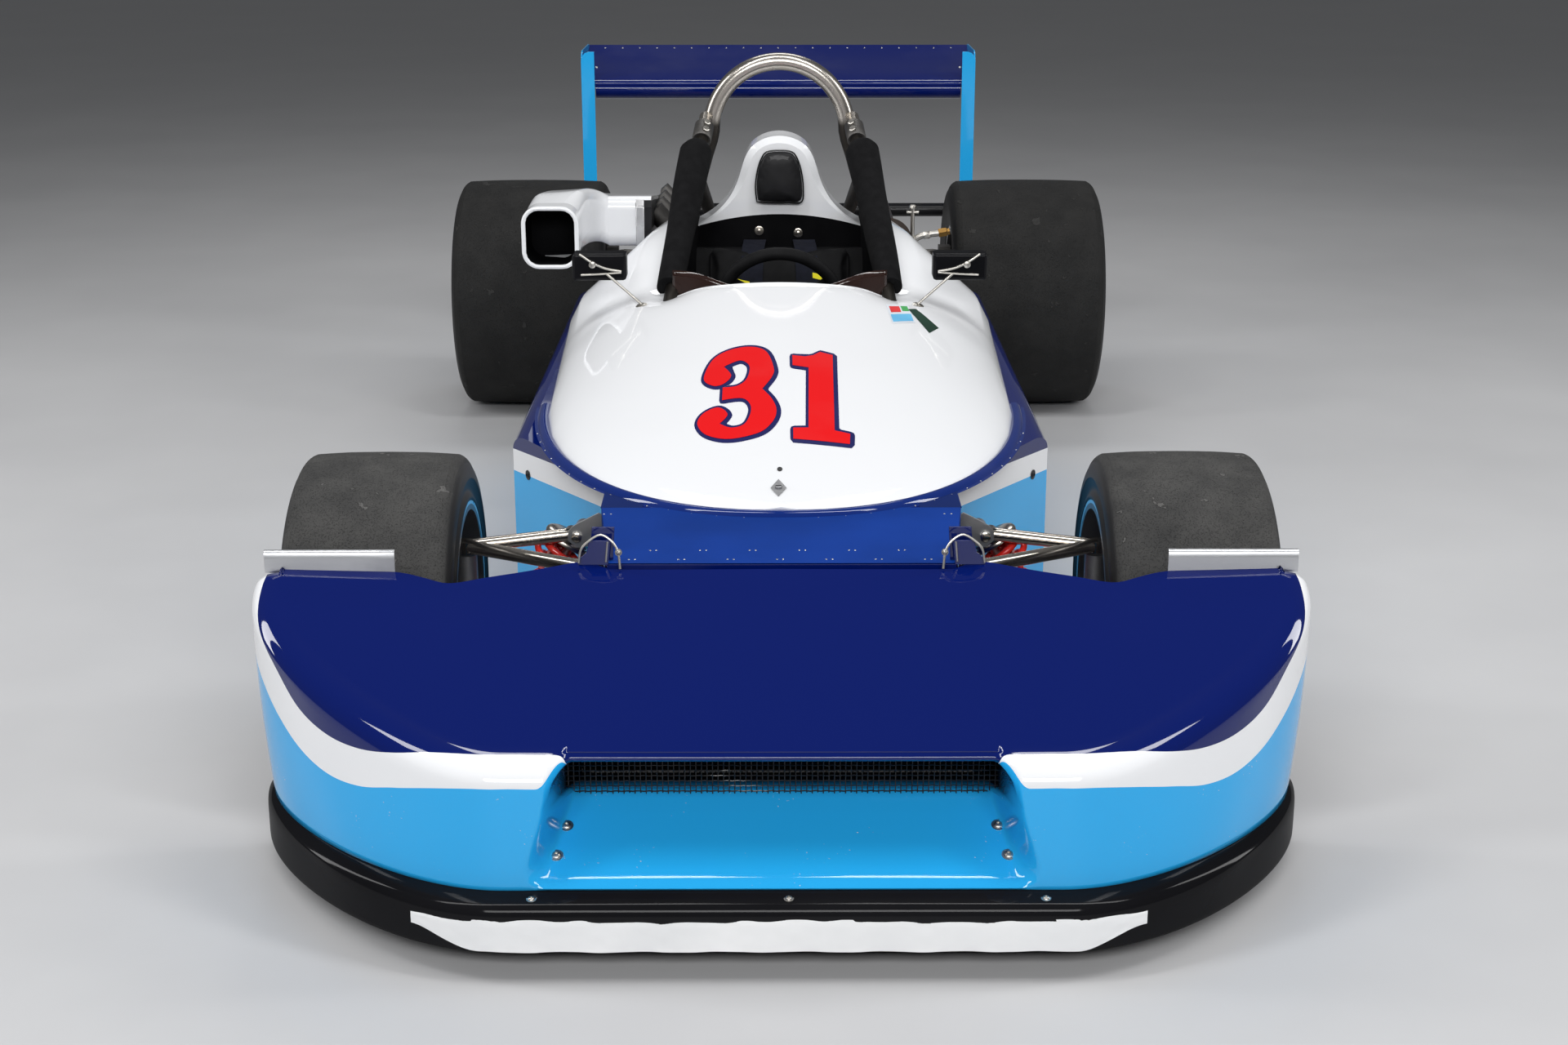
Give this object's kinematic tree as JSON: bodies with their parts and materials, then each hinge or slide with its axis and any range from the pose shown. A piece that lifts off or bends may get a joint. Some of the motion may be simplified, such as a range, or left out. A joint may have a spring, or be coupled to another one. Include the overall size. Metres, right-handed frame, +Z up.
{
  "type": "open wheel racing car",
  "caption": "Single seat open wheel racing car with a wide wedge nose, slick tyres, a roll hoop and a rear wing.",
  "frame": {"origin": "on the ground, in the middle of the car's length and width", "axes": "+Z up, the nose points to -Y, +X is the car's left side"},
  "size_m": [1.678, 3.89, 0.9998],
  "materials": {
    "blue_paint": "deep navy blue gloss paint",
    "white_paint": "white gloss paint",
    "black_gloss": "black gloss glass fibre",
    "wire_mesh": "black woven wire",
    "bare_aluminium": "thin bare sheet",
    "radiator_metal": "finned core with a bright tank",
    "smoked_screen": "smoked clear plastic",
    "black_vinyl": "black vinyl over foam",
    "bright_tube": "nickel plated steel tube",
    "black_foam": "black foam sleeve",
    "dark_panel": "matt black panel",
    "mirror_black": "black housing with a mirror at the rear",
    "steel_parts": "plated steel",
    "spring_red": "red powder coat",
    "damper_silver": "anodised body",
    "cast_grey": "rough casting",
    "cast_dark": "iron block",
    "pipe_steel": "heat tinted steel pipe",
    "tyre_rubber": "worn slick with picked up rubber",
    "rim_grey": "grey painted casting with a bright lip",
    "brake_steel": "ground disc and dark hub"
  },
  "bodies": {
    "chassis": {"nose_cone": "blue_paint", "nose_splitter": "black_gloss", "nose_grille": "wire_mesh", "nose_gurneys": "bare_aluminium", "tub": "blue_paint", "radiators": "radiator_metal", "cockpit_surround": "white_paint", "windscreen": "smoked_screen", "headrest_fairing": "white_paint", "headrest_pad": "black_vinyl", "roll_hoop": "bright_tube", "brace_pads": "black_foam", "dashboard": "dark_panel", "seat": "black_vinyl", "mirrors": "mirror_black", "rear_calipers": "steel_parts", "front_wishbones": "bright_tube", "front_brackets": "steel_parts", "dampers": "damper_silver", "springs": "spring_red", "rear_uprights": "cast_grey", "rear_links": "bright_tube", "engine_block": "cast_dark", "cam_covers": "cast_grey", "intake_airbox": "white_paint", "inlet_trumpets": "bare_aluminium", "exhaust": "pipe_steel", "gearbox": "cast_grey", "rear_wing": "blue_paint", "wing_endplates": "blue_paint", "wing_beam": "steel_parts", "jack_bar": "steel_parts", "tow_eye": "steel_parts", "sidepod_left": "blue_paint", "sidepod_right": "blue_paint"},
    "rack": {"steering_rack": "steel_parts"},
    "steering_wheel": {"steering_wheel": "black_vinyl"},
    "upright_left": {"front_upright_left": "cast_grey", "front_caliper_left": "steel_parts"},
    "upright_right": {"front_upright_right": "cast_grey", "front_caliper_right": "steel_parts"},
    "front_wheel_left": {"front_tyre_left": "tyre_rubber", "front_rim_left": "rim_grey", "front_hub_left": "brake_steel"},
    "front_wheel_right": {"front_tyre_right": "tyre_rubber", "front_rim_right": "rim_grey", "front_hub_right": "brake_steel"},
    "rear_wheel_left": {"rear_tyre_left": "tyre_rubber", "rear_rim_left": "rim_grey", "rear_hub_left": "brake_steel"},
    "rear_wheel_right": {"rear_tyre_right": "tyre_rubber", "rear_rim_right": "rim_grey", "rear_hub_right": "brake_steel"}
  },
  "joints": [
    {"name": "steer_left", "type": "hinge", "parent": "chassis", "child": "upright_left", "pos_m": [0.505, -1.185, 0.252], "axis": [0, 0, 1], "range_deg": [-18, 18]},
    {"name": "steer_right", "type": "hinge", "parent": "chassis", "child": "upright_right", "pos_m": [-0.505, -1.185, 0.252], "axis": [0, 0, 1], "range_deg": [-18.1, 18.1]},
    {"name": "rack_slide", "type": "slide", "parent": "chassis", "child": "rack", "axis": [1, 0, 0], "range_m": [-0.03005, 0.03005]},
    {"name": "steering_wheel_turn", "type": "hinge", "parent": "chassis", "child": "steering_wheel", "pos_m": [0, -0.095, 0.52], "axis": [0, 0.9644, 0.2645], "range_deg": [-214.75, 214.75]},
    {"name": "front_wheel_left_spin", "type": "hinge", "parent": "upright_left", "child": "front_wheel_left", "pos_m": [0.632, -1.185, 0.252], "axis": [1, 0, 0], "continuous": true},
    {"name": "front_wheel_right_spin", "type": "hinge", "parent": "upright_right", "child": "front_wheel_right", "pos_m": [-0.632, -1.185, 0.252], "axis": [1, 0, 0], "continuous": true},
    {"name": "rear_wheel_left_spin", "type": "hinge", "parent": "chassis", "child": "rear_wheel_left", "pos_m": [0.6425, 1.235, 0.296], "axis": [1, 0, 0], "continuous": true},
    {"name": "rear_wheel_right_spin", "type": "hinge", "parent": "chassis", "child": "rear_wheel_right", "pos_m": [-0.6425, 1.235, 0.296], "axis": [1, 0, 0], "continuous": true}
  ],
  "couplings": [
    {"joint": "steer_right", "follows": "steer_left", "ratio": 1},
    {"joint": "rack_slide", "follows": "steer_left", "m_per_rad": 0.095},
    {"joint": "steering_wheel_turn", "follows": "steer_left", "ratio": 11.875}
  ]
}
